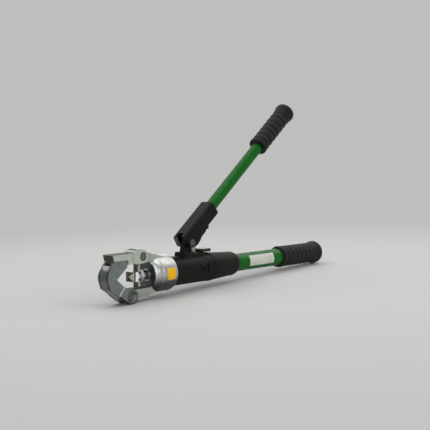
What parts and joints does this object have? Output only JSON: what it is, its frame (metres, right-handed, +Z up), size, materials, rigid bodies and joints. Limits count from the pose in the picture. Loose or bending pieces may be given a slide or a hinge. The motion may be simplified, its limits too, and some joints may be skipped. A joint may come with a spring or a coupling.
{
  "type": "hydraulic crimping tool",
  "caption": "Two-handed hydraulic crimping tool: swivel head with a latched C-shaped yoke, V anvil and ram indenter, a hand pump, a fixed tube handle and a moving pump handle.",
  "frame": {"origin": "crimp nest: on the ram's axis, in the middle plane, 10 mm from the apex of the V anvil", "axes": "+X along the tool from the yoke to the end of the fixed grip, +Z up on the side of the moving handle, +Y across the tool along a cable lying in the nest"},
  "size_m": [0.5078, 0.0522, 0.2914],
  "materials": {
    "head_steel": "satin nickel-plated steel",
    "yoke_steel": "forged steel, satin faces, polished rim",
    "latch_steel": "forged steel, satin",
    "pin_steel": "ground steel",
    "clip_steel": "phosphated spring steel",
    "ram_steel": "hardened steel",
    "polished_steel": "polished",
    "spring_steel": "drawn wire",
    "bronze": "turned",
    "black_paint": "fine-grained black enamel",
    "dark_steel": "blackened steel",
    "green_paint": "gloss enamel on steel tube",
    "grip_rubber": "moulded, matte",
    "seal_rubber": "smooth",
    "yellow_film": "plain printed film",
    "white_film": "plain film"
  },
  "bodies": {
    "pump": {"pump_block": "black_paint", "swivel_ring": "spring_steel", "swivel_seal": "seal_rubber", "check_balls": "polished_steel", "check_springs": "spring_steel", "check_plugs": "bronze", "relief_plug": "dark_steel", "relief_spring": "spring_steel", "relief_ball": "polished_steel", "plunger_gland": "bronze", "plunger_seal": "seal_rubber", "handle_bracket": "black_paint", "bracket_screws": "pin_steel", "pivot_pin": "clip_steel", "pivot_clips": "pin_steel", "release_pin": "pin_steel", "rear_collar": "black_paint", "rear_sleeve": "black_paint", "fixed_tube": "green_paint", "oil_bladder": "seal_rubber", "tube_end_plug": "dark_steel", "blank_plate": "white_film", "fixed_grip": "grip_rubber"},
    "head": {"head_body": "head_steel", "latch_pin": "pin_steel", "latch_pin_clips": "clip_steel", "yoke_pin": "pin_steel", "yoke_pin_clips": "clip_steel", "rod_bush": "bronze", "rod_wiper": "spring_steel", "head_patch": "yellow_film"},
    "ram": {"ram": "ram_steel", "piston_seal": "seal_rubber", "crosshead_bar": "dark_steel", "ram_nut": "ram_steel", "indenter": "ram_steel", "ram_spring": "spring_steel"},
    "yoke": {"yoke": "yoke_steel"},
    "latch": {"latch": "latch_steel"},
    "handle": {"handle_socket": "black_paint", "release_nose": "dark_steel", "handle_tube": "green_paint", "roll_pin": "clip_steel", "handle_end_plug": "dark_steel", "handle_grip": "grip_rubber", "drive_pin": "clip_steel"},
    "plunger": {"pump_plunger": "polished_steel"},
    "release_lever": {"release_lever": "dark_steel"},
    "release_stem": {"release_stem": "polished_steel", "release_spring": "spring_steel"}
  },
  "joints": [
    {"name": "head_swivel", "type": "hinge", "parent": "pump", "child": "head", "pos_m": [0.08, 0, 0], "axis": [1, 0, 0], "range_deg": [-90, 90]},
    {"name": "ram_feed", "type": "slide", "parent": "head", "child": "ram", "axis": [-1, 0, 0], "range_m": [0, 0.019], "stiffness_N_per_m": 1500, "springref_m": -0.012, "deforming": ["ram_spring"]},
    {"name": "latch_lift", "type": "hinge", "parent": "head", "child": "latch", "pos_m": [0.0382, 0, 0.0279], "axis": [0, 1, 0], "range_deg": [0, 74]},
    {"name": "yoke_swing", "type": "hinge", "parent": "head", "child": "yoke", "pos_m": [0.017, 0, -0.0257], "axis": [0, -1, 0], "range_deg": [0, 48.2]},
    {"name": "handle_pump", "type": "hinge", "parent": "pump", "child": "handle", "pos_m": [0.1384, 0, 0.04], "axis": [0, -1, 0], "range_deg": [-24, 22]},
    {"name": "plunger_stroke", "type": "slide", "parent": "pump", "child": "plunger", "axis": [0, 0, 1], "range_m": [-0.0062, 0.0057]},
    {"name": "release_press", "type": "hinge", "parent": "pump", "child": "release_lever", "pos_m": [0.167, 0, 0.0262], "axis": [0, 1, 0], "range_deg": [0, 4.5], "stiffness_Nm_per_rad": 0.6, "springref_deg": -5.73},
    {"name": "release_stem_drop", "type": "slide", "parent": "pump", "child": "release_stem", "axis": [0, 0, -1], "range_m": [0, 0.00065], "deforming": ["release_spring"]}
  ],
  "couplings": [
    {"joint": "yoke_swing", "follows": "latch_lift", "ratio": 0.65},
    {"joint": "plunger_stroke", "follows": "handle_pump", "m_per_rad": 0.0146},
    {"joint": "release_stem_drop", "follows": "release_press", "m_per_rad": 0.008}
  ]
}
